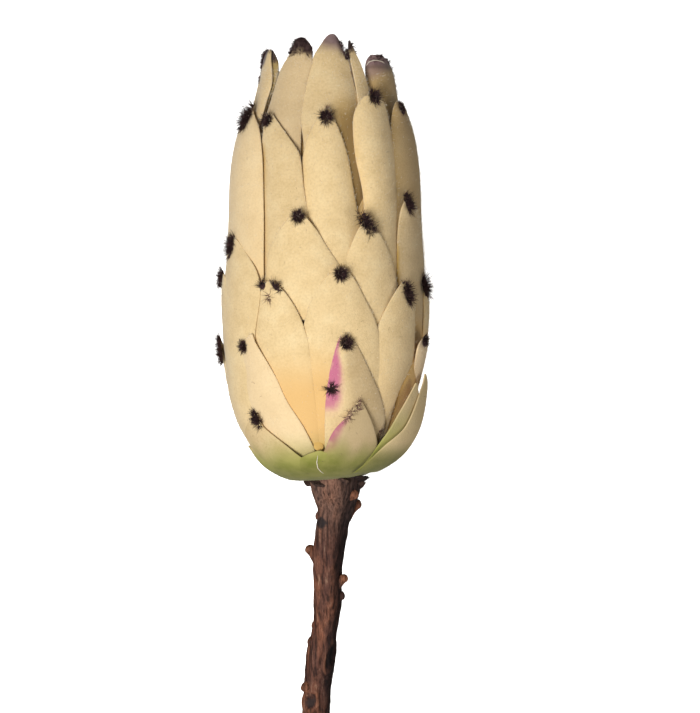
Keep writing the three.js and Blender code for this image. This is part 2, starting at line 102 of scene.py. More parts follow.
# Bracts on the side that faces up: label, height of the point, what isn't as in the bract's
# whorl, and the margins, with the drop below the point and then the angles of the left and the
# right margin there. tuft_at is the place of the tuft (drop and angle), tuft_line the half
# length of a long tuft (sideways and up)
FACE_BRACTS = {"crown": [
    ("folded", 126.4, {}, [
        (0, -67, -64.5), (0.8, -73, -61.5), (3, -76.5, -57.6), (6, -76.5, -52.6),
        (10.5, -75, -49.4), (14.5, -75, -52), (17, -77, -53), (30, -82, -55)]),
    ("fold_inside", 126, {"rise": -1.1}, [
        (0, -71, -66), (1.2, -75, -58), (3.3, -75, -50.4), (6, -75, -47.6), (10.2, -75, -49.2),
        (15, -75, -54), (24, -76, -58)]),
    ("domed", 129.7, {"crown": 1.5}, [
        (0, -30, -24), (0.6, -32, -20.5), (2.6, -33.8, -13.5), (5.4, -35.5, -11.5),
        (8.6, -41.5, -12), (13.3, -45.5, -15.2), (24, -50, -17), (52, -50, -14)]),
    ("tall", 130.8, {"crown": 1.4, "lap": -0.4}, [
        (0, 6, 7.6), (0.5, 1.7, 11.2), (1.25, -1.2, 12.9), (3.9, -6.3, 15.1), (5.2, -9.5, 17),
        (8.6, -13, 20.8), (13.8, -17, 25.5), (18.1, -19.3, 27), (23.2, -19.6, 28.6),
        (34.6, -14.6, 29), (54, -11.7, 30)]),
    ("backing", 126.2, {"rise": -1.3}, [
        (0, 20.5, 22.5), (1, 18.5, 25), (3, 17, 27.5), (8, 16, 29), (30, 14, 30)]),
    ("narrow", 128.8, {"rise": -0.7}, [
        (0, 24.3, 25.6), (1.5, 22.5, 27), (3.8, 22, 29.3), (8, 23.3, 34), (12, 24.8, 36.7),
        (17.5, 26, 40), (30, 24, 46), (52, 22, 46)]),
    ("ragged", 124.6, {"rise": 0.8, "lap": 1.3, "sink": 2.4}, [
        (0, 43, 57), (0.8, 38.5, 62), (2.3, 34.7, 67), (4.8, 33, 72.5), (8.3, 32.5, 76.5),
        (12.3, 31, 77), (26, 30, 84)]),
], "upper": [
    ("side", 109.2, {"crown": 1.2, "lap": -0.1, "rise": 1.2, "flare": -2.4, "sink": 1.7,
     "tuft": 1.7, "tuft_at": (3, -70.5), "tuft_line": (1.1, 2.7)}, [
        (0, -74, -68), (2, -83, -61), (5, -95, -51), (9, -102, -45.5), (17, -110, -40.4),
        (30, -114, -38), (52, -114, -35.2)]),
    ("cracked", 107, {"crown": 1.4, "flare": -1.5, "tuft": 0.95, "tuft_at": (1.9, -45.3)}, [
        (0, -47, -42), (1, -49, -39), (3.2, -48, -33), (5.5, -47, -27.6), (10.9, -46, -17.4),
        (14, -45.5, -15.2), (21, -45, -13.3), (34, -44, -9), (52, -42, -7.2)]),
    ("central", 108.7, {"flare": -1.3, "tuft_at": (2.8, 0.2), "tuft_line": (0.2, -0.6)}, [
        (0, -0.9, 2.1), (3.2, -6, 5.6), (9.1, -12.5, 11.2), (16.7, -15.4, 15), (25.8, -16.4, 17.6),
        (36, -16.7, 22), (52, -16.5, 27)]),
    ("", 113, {"flare": -0.5, "tuft_at": (0.9, 37), "tuft_line": (0.5, -1)}, [
        (0, 33, 40), (0.9, 28, 43), (2.8, 23.5, 46), (5.4, 19.6, 47.2), (9.1, 17.6, 47.6),
        (18.5, 18, 48.3), (29.6, 22.3, 48.3), (42.3, 23, 47), (57.8, 24, 45.1)]),
    ("dusky", 110.8, {"rise": 0.2, "sink": 1.3, "crown": 1.4, "lap": 0.6, "tuft": 0.6,
     "tuft_at": (1.9, 63.5), "tuft_line": (1, -1.3)}, [
        (0, 58, 64), (2, 53, 72), (5, 49, 82), (9, 46, 92), (17, 44, 100), (30, 43, 104),
        (54, 43, 104)]),
], "third": [
    ("", 78.2, {"tuft_at": (1.4, -16.5)}, [
        (0, -18.5, -14.9), (2, -22.8, -11), (5.5, -28.6, -5), (10.2, -34.2, 0.8), (15.7, -36, 7.9),
        (21.9, -37.3, 13.1), (32, -37.8, 16)]),
    ("", 76.1, {"tuft_at": (1.5, 24.4), "tuft_line": (2.4, -2.8)}, [
        (0, 23.8, 27.2), (1.8, 20.8, 29.2), (5.1, 16.9, 34.2), (9.5, 13, 39.2), (14.6, 9.3, 42.5),
        (20.4, 7.9, 44.3), (32, 6, 45.2)]),
    ("straight", 82.4, {"profile": STRAIGHT_RADIUS, "sink": 0.9, "tuft_at": (1.6, 57.8),
     "tuft_line": (1.8, -2.4)}, [
        (0, 56, 61), (3, 50.5, 70), (8, 47.5, 84), (15, 46, 95), (28, 45, 100), (76, 45, 100)]),
], "fourth": [
    ("", 60.6, {"rise": 0.7, "tuft": 1.2, "tuft_at": (1.6, -85), "tuft_line": (0.3, 1.6)}, [
        (0, -90, -84), (2.6, -99, -71), (9, -108, -60), (19, -115, -50.6), (34, -118, -45)]),
    ("", 70.4, {"rise": 0.25, "crown": 1, "sink": 0, "tuft": 1.35, "tuft_at": (2.2, -70.5),
     "tuft_line": (-0.9, -1.9)}, [
        (0, -71, -64.5), (1.5, -78, -58.5), (5, -88, -50), (9.5, -97, -42), (16, -103, -38.5),
        (30, -108, -43), (62, -112, -46)]),
    ("glowing", 57.9, {"flare": -0.6, "tuft": 0}, [
        (0, -35.5, -31.5), (3.2, -40, -23.6), (9, -44.5, -15.6), (16.5, -47, -10.2),
        (25.4, -49.4, -7.5), (35.6, -46.2, -4.8), (54, -40, -2.5)]),
    ("amber", 62, {"flare": -0.4, "tuft_at": (2.2, 8.3)}, [
        (0, 6.7, 10.3), (3.3, -0.6, 16.2), (9.2, -8, 22.4), (16.9, -12.5, 29.8),
        (26.1, -14.5, 33.8), (36.5, -15.1, 37.6), (58, -14.1, 41.1)]),
    ("warm", 57.9, {"tuft_at": (3.6, 52), "tuft_line": (1.2, -2.9)}, [
        (0, 49, 53.2), (3, 42.4, 56.4), (8.4, 34.6, 58.8), (15.5, 28.4, 59.6), (23.8, 27.5, 59.6),
        (33.3, 30.1, 50.2), (50, 34, 47.9)]),
    ("hot", 58, {"rise": 0.8, "flare": -1.6, "sink": 5, "tuft": 1.5, "tuft_at": (1.6, 77),
     "tuft_line": (0.3, 1.4)}, [
        (0, 77, 85), (3, 78, 98), (9, 79, 110), (18, 79, 116), (28, 78, 118), (52, 76, 118)]),
], "fifth": [
    ("", 41.4, {"rise": 1.3, "tuft": 1.1, "tuft_at": (3.6, -83), "tuft_line": (-0.3, 3.6)}, [
        (0, -94, -87), (4, -106, -85), (9, -114, -86), (14, -118, -90)]),
    ("blush", 42.3, {"tuft": 0.85, "tuft_at": (3.7, -52.4)}, [
        (0, -45.8, -44.6), (2.4, -52.5, -42.7), (6.8, -54, -36.9), (12.6, -56.5, -30.2),
        (19.4, -61, -24.9), (27.1, -68, -15.3), (38, -76, -5)]),
    ("pink_margin", 42.8, {"rise": 0.15, "flare": -0.4, "tuft_at": (3.1, 11.5),
     "tuft_line": (0.4, -0.7)}, [
        (0, 9.3, 13.1), (2.4, 6.8, 16.2), (6.9, 4.2, 21.4), (12.7, 1.4, 28.1), (19.5, -0.4, 37.1),
        (27.3, -1, 44.8), (38, -1, 46.7)]),
    ("brown_point", 41.6, {"rise": -0.9, "flare": 2.3, "tuft": 0.75, "tuft_at": (1.2, 67.5),
     "tuft_line": (1, -0.6)}, [
        (0, 67, 71.5), (2, 62, 77), (7, 62, 90), (14, 66, 98), (36, 68, 100)]),
], "green": [
    ("", 9.6, {"rise": -1.3, "tuft": 0}, [
        (0, -92, -84), (2, -104, -70), (6, -118, -56), (12.6, -128, -46)]),
    ("broad", 18.8, {"rise": -1.3, "tuft": 0.95, "tuft_at": (1.5, -49.5),
     "tuft_line": (-0.5, 1.9)}, [
        (0, -50, -47.5), (2, -57, -46.5), (4, -64, -45.4), (9.4, -82, -29.9), (13.2, -90, -18.4),
        (15, -92, -9.3), (19.2, -94, -2)]),
    ("wedge", 8, {"rise": -1.2, "tuft": 0}, [
        (0, -6, -4), (0.9, -14, 2), (2.2, -22, 7), (8, -32, 14)]),
    ("pink_green", 22.6, {"rise": -0.9, "tuft": 0}, [
        (0, 20, 22.4), (1.4, 17.6, 24.5), (5, 12.4, 29.6), (8.2, 5.8, 34.2), (11.9, 1.4, 39.4),
        (14.4, -0.9, 42.6), (17, -6.6, 45), (23, -18, 48)]),
    ("slim", 27.9, {"tuft": 0}, [
        (0, 63.8, 65.4), (1.7, 61.2, 68), (4.9, 56.3, 74), (9, 50.3, 77), (13.9, 44.9, 78),
        (19.5, 39, 80), (27.5, 36, 80)]),
    ("outer", 30.6, {"rise": 1.4, "flare": -1.3, "tuft": 0}, [
        (0, 76, 77.5), (2, 73.6, 84), (5.5, 68, 98), (12, 61, 106), (16.7, 55.4, 110),
        (21.5, 43, 112), (30.2, 30, 112)]),
]}
# Far side of each whorl: its first and last angle, number of bracts, the height of their
# points and their half width
FAR_BRACTS = {
    "middle": (-30, 330, 2, 117, 4.2), "heart": (20, 380, 5, 119, 6),
    "crown": (90, 288, 5, 121, 7.8), "upper": (92, 262, 4, 108, 10.6),
    "third": (86, 284, 5, 79, 11), "fourth": (98, 262, 3, 60, 13.4),
    "fifth": (92, 262, 4, 40, 12.5), "lower": (85, 300, 3, 24, 8),
    "green": (98, 250, 3, 21, 13),
}
# The pieces that cream bracts make, and the whorls in each
BRACT_PIECES = {
    "crown_bracts": ("middle", "heart", "crown"), "upper_bracts": ("upper",),
    "third_bracts": ("third",), "fourth_bracts": ("fourth",), "fifth_bracts": ("fifth", "lower"),
}
DRAW_ORDER = ("fourth", "fifth", "lower", "third", "upper", "crown", "heart", "middle", "green")
# How far below a bract's point its lean, its flare and the narrowing of its tip fade
LEAN_FADE = 9
FLARE_FADE = 7
TIP_FADE = 5
# Half width of a point, and the half width from which a bract has its full crown
POINT_HALF = 0.5
FULL_CROWN = 7
# How steeply a bract's root sinks, and how steeply it curves down towards its margins
SINK_POWER = 1.4
CROWN_POWER = 2.2
# Angle up to which a bract's margins are where the camera sees them
EDGE_ANGLE = 78
# Slant of the head's foot, and how far its left side swells
BASE_SLANT = 0.06
LEFT_SWELL = 1.1
UP = Vector((0, 0, 1))


class Draw:
    """Random numbers in a fixed order, the same each time."""

    SPAN = 2**32

    def __init__(self, seed):
        self.state = seed

    def next(self):
        self.state = (self.state * 1664525 + 1013904223) % self.SPAN
        return self.state / self.SPAN

    def spread(self, amount):
        return (self.next() * 2 - 1) * amount

    def between(self, low, high):
        return low + (high - low) * self.next()

    def stray(self, x, y, z):
        return Vector((self.spread(x), self.spread(y), self.spread(z)))


def smooth(low, high, x):
    """From 0 at low to 1 at high, which may lie below low."""
    t = min(max((x - low) / (high - low), 0), 1)
    return t * t * (3 - 2 * t)


def along(rows, x, column=1):
    """Smooth curve through the rows, as the value of a column at x."""
    last = len(rows) - 1
    i = 0
    while i < last - 1 and x > rows[i + 1][0]:
        i += 1

    def slope(a, b):
        return (rows[b][column] - rows[a][column]) / (rows[b][0] - rows[a][0])

    width = rows[i + 1][0] - rows[i][0]
    start, end = slope(max(i - 1, 0), i + 1) * width, slope(i, min(i + 2, last)) * width
    t = min(max((x - rows[i][0]) / width, 0), 1)
    low, high = rows[i][column], rows[i + 1][column]
    return (
        (2 * t**3 - 3 * t**2 + 1) * low + (t**3 - 2 * t**2 + t) * start
        + (3 * t**2 - 2 * t**3) * high + (t**3 - t**2) * end
    )


def around(angle, radius, height):
    turn = math.radians(angle)
    return Vector((radius * math.sin(turn), -radius * math.cos(turn), height))


def outwards(point):
    """The way straight out from the axis of the head at a point."""
    return Vector((point.x, point.y, 0)).normalized()


def settle(point):
    """The foot of the head sits a little askew on the stem, lower and fuller on the left."""
    swell = smooth(8, 14, point.z) * (1 - smooth(25, 33, point.z))
    point.x -= LEFT_SWELL * swell * smooth(14, 26, -point.x)
    point.z += BASE_SLANT * point.x * (1 - smooth(-1, 15, point.z))
    return point


def whorl_bracts():
    """Every bract of the flower by whorl, the placed ones first and then the far side."""
    draw = Draw(20)
    whorls = {}
    for name in DRAW_ORDER:
        common = dict(zip(WHORL_KEYS, WHORLS[name]), lean=0, flare=0, whorl=name, label="",
                      tuft_line=(0, 0))
        rows = [{**common, **own, "label": label, "tip": tip, "margins": margins}
                for label, tip, own, margins in FACE_BRACTS.get(name, ())]
        start, end, count, tip, half = FAR_BRACTS[name]
        for i in range(1, count + 1):
            angle = start + (end - start) * i / (count + 1) + draw.spread(3)
            height = tip + draw.spread(2.2)
            rows.append({**common, "half": half, "angle": angle, "tip": height,
                         "lean": draw.spread(6)})
        root = -0.7 if name == "green" else 4
        for bract in rows:
            if "margins" in bract:
                bract["length"] = bract["margins"][-1][0]
                bract["angle"] = (bract["margins"][0][1] + bract["margins"][0][2]) / 2
            bract.setdefault("tuft_at", (1.6, bract["angle"] + bract["lean"]))
            bract["length"] = min(bract["length"], bract["tip"] - root)
        whorls[name] = rows
    return whorls


def face_radius(bract, drop):
    """Radius of a bract's face, without the sinking of its root and its crown."""
    flare = bract["flare"] * math.exp(-drop / FLARE_FADE)
    return along(bract["profile"], bract["tip"] - drop) + bract["rise"] + flare


def on_face(bract, drop, angle):
    """Point on the face of a bract near its tip."""
    return settle(around(angle, face_radius(bract, drop), bract["tip"] - drop))


def bract_point(bract, drop, side, lift=0.0):
    """Point on a bract's outer face, drop below its point and side from -1 to 1 across it."""
    full = face_radius(bract, drop)
    sink = bract["sink"] * (drop / bract["length"]) ** SINK_POWER
    fade = min(1, drop / TIP_FADE)
    if "margins" in bract:
        left = along(bract["margins"], drop, 1)
        right = along(bract["margins"], drop, 2)
        angle = (left + right) / 2 + side * (right - left) / 2
        fade = min(1, full * math.radians(right - left) / 2 / FULL_CROWN) ** 2
    else:
        half = bract["half"] * (1 - math.exp(-drop / bract["spread"])) + POINT_HALF
        lean = bract["lean"] * math.exp(-drop / LEAN_FADE)
        angle = bract["angle"] + lean + math.degrees(side * half / (full - sink))
    if bract["label"] == "ragged":
        angle += 3.5 * noise.noise(Vector((drop * 0.9, 4, 1))) * smooth(0.4, 1, side)
    tuck = fade * (bract["crown"] * abs(side) ** CROWN_POWER - bract["lap"] * side)
    radius = max(full - sink - tuck, 1)
    if "margins" in bract and abs(angle) < EDGE_ANGLE:
        across = full * math.sin(math.radians(angle)) / radius
        limit = math.sin(math.radians(EDGE_ANGLE))
        angle = math.degrees(math.asin(min(max(across, -limit), limit)))
    return settle(around(angle, radius + lift, bract["tip"] - drop))


# From a shape to a piece


def add_object(name, data):
    thing = bpy.data.objects.new(name, data)
    bpy.context.scene.collection.objects.link(thing)
    return thing


def to_mesh(name, bm):
    mesh = bpy.data.meshes.new(name)
    bm.to_mesh(mesh)
    bm.free()
    return mesh


def make_piece(name, mesh, material, node):
    """Make a mesh a piece that rides on the flower's one body and stands for a CAD node."""
    piece = add_object(name, mesh)
    mesh.materials.append(material)
    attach(piece, "root")
    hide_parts(node)
    return piece


def lay_down(name, bm, material, node):
    """Lay a shape down in metres, keep it above the ground and make it a piece."""
    bmesh.ops.transform(bm, matrix=TO_WORLD, verts=bm.verts)
    for vert in bm.verts:
        vert.co.z = max(vert.co.z, GROUND)
    mesh = to_mesh(name, bm)
    for polygon in mesh.polygons:
        polygon.use_smooth = True
    return make_piece(name, mesh, material, node)


def toned_shape(tones):
    """An empty shape and the layers that hold the tones of its points."""
    bm = bmesh.new()
    return bm, {tone: bm.verts.layers.float.new(tone) for tone in tones}


def add_grid(bm, columns, rows):
    """Add a square grid from -1 to 1, whose points are then bent into a shape."""
    return bmesh.ops.create_grid(bm, x_segments=columns, y_segments=rows, size=1)["verts"]


def close_tube(bm):
    """Join the seam of a grid that is bent into a tube, and fill the tube's two ends."""
    bmesh.ops.remove_doubles(bm, verts=bm.verts, dist=0.001)
    rims = [edge for edge in bm.edges if edge.is_boundary]
    return bmesh.ops.holes_fill(bm, edges=rims, sides=0)["faces"]


def add_thickness(piece, thickness, offset):
    wall = piece.modifiers.new("thickness", "SOLIDIFY")
    wall.thickness = thickness
    wall.offset = offset


# Materials

# Colour of each tone that a point of the felt or the bark may have. The dim tone is partly a
# plain darkening and partly painted shade on bracts that lie behind others or turn from the lamp;
# the gold tone is partly the felt's own gold and partly painted warm shade in cracks and crevices;
# shade is painted shade on the side of the bark turned from the lamp
TINTS = {
    "orange": (0.77, 0.485, 0.19), "pale": (0.86, 0.66, 0.42), "gold": (0.62, 0.39, 0.1),
    "pink": (0.56, 0.17, 0.27), "dim": (0.62, 0.6, 0.6), "spot": (0.06, 0.034, 0.032),
    "collar": (0.235, 0.14, 0.105), "tan": (0.36, 0.15, 0.08), "groove": (0.022, 0.017, 0.018),
    "shade": (0.23, 0.25, 0.31), "wood": (0.36, 0.22, 0.12),
}
# Colours along a grain: its value, then the colour there
CREAM = [(0.3, (0.75, 0.56, 0.29)), (0.52, (0.82, 0.625, 0.34)), (0.75, (0.86, 0.68, 0.39))]
FELT_FLECKS = [(0.3, (0.86, 0.85, 0.83)), (0.6, (1, 1, 1))]
BARK_BROWN = [(0.3, (0.085, 0.036, 0.03)), (0.5, (0.152, 0.064, 0.044)), (0.7, (0.29, 0.11, 0.06))]
BARK_LINES = [(0.36, (0.2, 0.2, 0.22)), (0.5, (0.8, 0.8, 0.8)), (0.58, (1, 1, 1))]
BARK_SPECKS = [(0.34, (0.5, 0.48, 0.46)), (0.56, (1, 1, 1))]
# Pairs of colours that a grain mixes
LEAF_GREEN = ((0.27, 0.29, 0.05), (0.37, 0.37, 0.09))
MAUVE = ((0.16, 0.09, 0.095), (0.3, 0.2, 0.195))
CAP_BROWN = ((0.035, 0.018, 0.017), (0.1, 0.055, 0.05))
# Gold where the felt lies deep between bracts: partly its own orange at the bases, partly painted
# warm shade
DEEP_GOLD_SHADE = (0.76, 0.5, 0.19)
PALE_BARK = (0.42, 0.27, 0.18)
# Finish of each kind of hair: roughness, sheen, scale of its grain and the colours along that
HAIR_FINISH = {
    "dark_hair": (0.6, 0, 900, (0.35, (0.018, 0.009, 0.01)), (0.62, (0.07, 0.034, 0.034))),
    "pale_fuzz": (0.8, 0.3, 700, (0.3, (0.84, 0.74, 0.56)), (0.7, (0.92, 0.86, 0.74))),
    "brown_wisp": (0.6, 0, 900, (0.35, (0.07, 0.032, 0.028)), (0.62, (0.22, 0.11, 0.095))),
}


class Paint:
    """A new material, with short ways to add nodes to it."""

    def __init__(self, name, roughness, sheen=0.0, specular=0.25):
        self.material = bpy.data.materials.new(name)
        self.material.use_nodes = True
        self.tree = self.material.node_tree
        self.shader = self.tree.nodes["Principled BSDF"]
        finish = {"Roughness": roughness, "Specular IOR Level": specular, "Sheen Weight": sheen,
                  "Sheen Roughness": 0.5}
        for socket, value in finish.items():
            self.shader.inputs[socket].default_value = value
        self.colour = None

    def node(self, kind, inputs, **settings):
        """Add a node whose inputs are numbers, vectors, colours or other nodes' outputs."""
        node = self.tree.nodes.new(kind)
        for name, value in settings.items():
            setattr(node, name, value)
        for slot, value in inputs.items():
            if isinstance(value, bpy.types.NodeSocket):
                self.tree.links.new(value, node.inputs[slot])
            else:
                node.inputs[slot].default_value = value
        return node

    def attribute(self, name):
        return self.node("ShaderNodeAttribute", {}, attribute_name=name).outputs["Fac"]

    def grain(self, scale, detail, stretch=(1, 1, 1)):
        place = self.node("ShaderNodeTexCoord", {}).outputs["Object"]
        mapping = self.node("ShaderNodeMapping", {"Vector": place, "Scale": stretch})
        values = {"Vector": mapping.outputs["Vector"], "Scale": scale, "Detail": detail,
                  "Roughness": 0.55}
        return self.node("ShaderNodeTexNoise", values).outputs["Fac"]

    def ramp(self, value, stops):
        ramp = self.node("ShaderNodeValToRGB", {"Fac": value})
        while len(ramp.color_ramp.elements) < len(stops):
            ramp.color_ramp.elements.new(0.5)
        for element, (position, colour) in zip(ramp.color_ramp.elements, stops):
            element.position = position
            element.color = (*colour, 1)
        return ramp.outputs["Color"]

    def band(self, value, low, high):
        inputs = {"Value": value, "From Min": low, "From Max": high}
        return self.node("ShaderNodeMapRange", inputs).outputs["Result"]

    def math(self, operation, first, second):
        return self.node("ShaderNodeMath", {0: first, 1: second}, operation=operation).outputs[0]

    def mix(self, amount, first, second, blend="MIX"):
        inputs = {0: amount}
        for slot, colour in ((6, first), (7, second)):
            inputs[slot] = (*colour, 1) if isinstance(colour, tuple) else colour
        return self.node("ShaderNodeMix", inputs, data_type="RGBA", blend_type=blend).outputs[2]

    def lay(self, amount, colour, blend="MIX"):
        """Lay a colour over the paint so far."""
        self.colour = self.mix(amount, self.colour, colour, blend)

    def tint(self, tone, colour=None, blend="MIX"):
        """Lay a tone's own colour, or another, where points have that tone."""
        self.lay(self.attribute(tone), TINTS[tone] if colour is None else colour, blend)

    def bump(self, height, strength, distance):
        inputs = {"Height": height, "Strength": strength, "Distance": distance}
        bump = self.node("ShaderNodeBump", inputs)
        self.tree.links.new(bump.outputs["Normal"], self.shader.inputs["Normal"])

    def finish(self):
        self.tree.links.new(self.colour, self.shader.inputs["Base Color"])
        return self.material


def felted_bract(name, sheen):
    """Cream felt: mottled, gold where it lies deep, partly its own colour and partly painted warm
    shade, darker where painted shade is laid, with pink, orange, green and brown parts.
    """
    paint = Paint(name, 0.92, sheen)
    mottle = paint.grain(170, 4)
    fleck = paint.grain(1500, 2)
    streaks = paint.band(paint.grain(260, 3), 0.3, 0.62)
    paint.colour = paint.ramp(mottle, CREAM)
    paint.lay(0.8, paint.ramp(fleck, FELT_FLECKS), "MULTIPLY")
    # Gold by depth: painted warm shade in the gaps, over the felt's own orange at the bases
    deep = paint.math("MULTIPLY", paint.band(paint.attribute("depth"), 1.4, 4.4), 0.8)
    paint.lay(deep, DEEP_GOLD_SHADE)
    for tone in ("orange", "pale", "gold"):
        paint.tint(tone)
    patchy = paint.band(paint.grain(300, 4), 0.1, 0.5)
    paint.lay(paint.math("MULTIPLY", paint.attribute("pink"), patchy), TINTS["pink"])
    paint.tint("green", paint.mix(streaks, *LEAF_GREEN))
    paint.tint("dim", blend="MULTIPLY")
    paint.tint("mauve", paint.mix(streaks, *MAUVE))
    paint.tint("cap", paint.mix(fleck, *CAP_BROWN))
    paint.tint("spot")
    nap = paint.math("ADD", paint.grain(2600, 2), paint.math("MULTIPLY", mottle, 1.5))
    paint.bump(nap, 0.35, 0.0003)
    return paint.finish()


def hair_finish(name):
    roughness, sheen, scale, *stops = HAIR_FINISH[name]
    paint = Paint(name, roughness, sheen)
    paint.colour = paint.ramp(paint.grain(scale, 2), stops)
    return paint.finish()


def stem_bark():
    """Red-brown bark in long ridges, near black in the grooves and on the shaded side."""
    paint = Paint("stem_bark", 0.6, specular=0.12)
    ridges = paint.grain(1400, 4, (1, 0.02, 1))
    fine = paint.grain(2600, 2, (1, 0.4, 1))
    paint.colour = paint.ramp(paint.grain(250, 4, (1, 0.22, 1)), BARK_BROWN)
    paint.tint("collar")
    paint.tint("tan")
    paint.lay(0.9, paint.ramp(ridges, BARK_LINES), "MULTIPLY")
    paint.lay(paint.math("MULTIPLY", paint.band(ridges, 0.6, 0.7), 0.45), PALE_BARK)
    paint.lay(0.7, paint.ramp(fine, BARK_SPECKS), "MULTIPLY")
    paint.tint("groove")
    paint.tint("shade", blend="MULTIPLY")
    paint.tint("wood")
    paint.bump(paint.math("ADD", ridges, paint.math("MULTIPLY", fine, 0.4)), 0.7, 0.0006)
    return paint.finish()


# Bracts

TONES = ("depth", "pink", "orange", "green", "cap", "mauve", "pale", "dim", "gold", "spot")
# Tones that are the same all over a bract. The dim and gold on the inside of the folded bract,
# on the ragged bract and on the shaded bract at the right are painted shade, as these lie behind
# others or turn from the lamp
STEADY_TONES = {
    "domed": {"dim": 0.55, "pale": 0.25}, "backing": {"cap": 0.8},
    "fold_inside": {"green": 0.22, "gold": 0.6, "dim": 1}, "ragged": {"gold": 0.35, "dim": 0.95},
    "side": {"pale": 0.25}, "cracked": {"dim": 0.22}, "dusky": {"gold": 0.4},
    "blush": {"pale": 0.45}, "brown_point": {"pale": 0.6}, "broad": {"dim": 0.3},
    "outer": {"pale": 0.5}, "slim": {"pale": 0.5}, "pink_green": {"pale": 0.5},
}
# Tones that come up over a bract: how much, between which drops and between which sides. ALL
# stands for every drop or side
ALL = (-99, -9)
RISING_TONES = {
    "fold_inside": [("cap", 0.9, (4.6, 2.6), ALL)],
    # On the tall bract, gold and a dark spot low on its right are painted shade in the valley
    # between the bracts that lie over it
    "tall": [("gold", 0.9, (17, 26), (-0.1, 0.3)), ("spot", 0.3, (20, 28), (0, 0.35)),
             ("cap", 0.8, (8, 5.5), (0.45, 0.85))],
    # On the cracked bract, gold along its left margin is painted warm shade in the crack
    "cracked": [("gold", 1, (7, 14), (-0.56, -0.8))],
    "central": [("gold", 0.4, ALL, (0.8, 1))],
    "straight": [("orange", 1, (32, 41), ALL), ("dim", 0.45, (41, 32), ALL),
                 ("gold", 1, (11, 16), (-0.84, -0.99))],
    "glowing": [("orange", 0.95, (18, 34), (-1.2, 0.1)), ("dim", 0.5, (24, 32), (0.86, 1))],
    "amber": [("orange", 0.95, (20, 36), (0.2, -0.5))],
    "warm": [("orange", 0.15, (14, 34), ALL)],
    "hot": [("orange", 1, (12, 20), ALL)],
    "brown_point": [("cap", 0.45, (4, 1.4), ALL)],
    # The dim on the left parts of the two pink bracts is partly their own tan and partly painted
    # shade
    "pink_margin": [("dim", 0.75, ALL, (-0.5, 0.1))],
    "pink_green": [("pink", 1, (3, 6), (-0.46, -0.86)), ("dim", 0.55, ALL, (-0.9, -0.3))],
}
# Drop below the point, then how far across the folded bract its dark fringe reaches, and how
# far across its bract the pink margin does
FRINGE_LIMIT = [(0, -0.1), (3, -0.05), (5, -0.4), (7, -1.2)]
PINK_LIMIT = [(0, -0.8), (5, -0.72), (10, -0.45), (14, -0.42), (19, -0.5), (24, -0.62)]
BRACT_THICKNESS = 0.00045


def whorl_tones(bract, drop, side):
    """The tones that a bract has from its place: a dark cap at the top, or green below."""
    tones = dict.fromkeys(TONES, 0.0)
    label, height = bract["label"], bract["tip"] - drop
    if bract["whorl"] == "crown":
        ragged = 0.9 * noise.noise(Vector((side * 3, bract["angle"], 0)))
        reach = {"domed": 4.1 + 1.8 * side**2 + 0.8 * side, "folded": 0, "ragged": 3.8}
        edge = reach.get(label, 3.2) + ragged
        kind = "mauve" if label in ("tall", "ragged") else "cap"
        tones[kind] = 1 - smooth(edge - 0.9, edge + 0.9, drop)
        tones["dim"] = 0.35
    elif bract["whorl"] == "green":
        edge = 9 + 3 * noise.noise(Vector((bract["angle"] * 0.3, side * 2, 1)))
        reach = {"slim": 18, "outer": 8, "wedge": 12}.get(label, edge)
        tones["green"] = 1 - smooth(reach * 0.35, reach * 1.5, height)
    else:
        tones["green"] = 0.8 * (1 - smooth(3, 15, height))
    return tones


def bract_tones(bract, drop, side):
    """How much of each tone a point of a bract has, apart from its depth."""
    label = bract["label"]
    tones = whorl_tones(bract, drop, side)
    tones.update(STEADY_TONES.get(label, {}))
    for tone, amount, drops, sides in RISING_TONES.get(label, ()):
        tones[tone] = amount * smooth(*drops, drop) * smooth(*sides, side)
    if label == "folded":
        wedge = along(FRINGE_LIMIT, drop)
        fringe = (1 - smooth(wedge - 0.2, wedge + 0.2, side)) * smooth(8, 5, drop)
        tones["cap"] = max(tones["cap"], fringe)
    elif label == "tall":
        # Low on its right the tall bract is darker: painted shade in the valley between the bracts
        # over it
        tones["dim"] = max(0.35, smooth(-0.1, 0.3, side) * smooth(17, 26, drop))
        tones["mauve"] = 1 - smooth(2.2, 6.4, drop - 0.8 * side)
    elif label == "ragged":
        tones["mauve"] = max(tones["mauve"], 0.7 * (1 - smooth(4, 7, drop + 2 * side)))
        # Dark band under the rolled rim: painted shadow of the rim
        tones["cap"] = 0.6 * math.exp(-(((drop - 3.6) / 0.9) ** 2))
    elif label == "straight":
        # Gold over its orange foot: painted warm shade in the crevice under the bracts beside it
        tones["gold"] = max(tones["gold"], 0.55 * tones["orange"])
    elif label == "dusky":
        # This bract turns from the lamp: its dimming is painted shade, darkest near its point
        tones["dim"] = 0.75 + 0.25 * smooth(18, 4, drop)
    elif label in ("outer", "slim"):
        tones["green"] = max(tones["green"], 0.17)
    elif label == "pink_margin":
        across = along(PINK_LIMIT, drop)
        tones["pink"] = 1 - smooth(across - 0.16, across + 0.16, side)
        tones["pink"] *= smooth(0.5, 3, drop) * smooth(24.5, 20.5, drop)
    elif label == "pink_green":
        tones["pink"] *= smooth(17, 14, drop)
        # More dimming: partly the bract's own tan, partly painted shade
        tones["dim"] += 0.25
        tones["green"] = max(tones["green"], 0.14)
    # Green bracts darken towards the foot, and on the right with painted shade on the side turned
    # from the lamp
    if bract["whorl"] == "green":
        height = bract["tip"] - drop
        tones["dim"] = max(tones["dim"], 1 - smooth(2, 9, height - bract["angle"] / 40))
    return tones


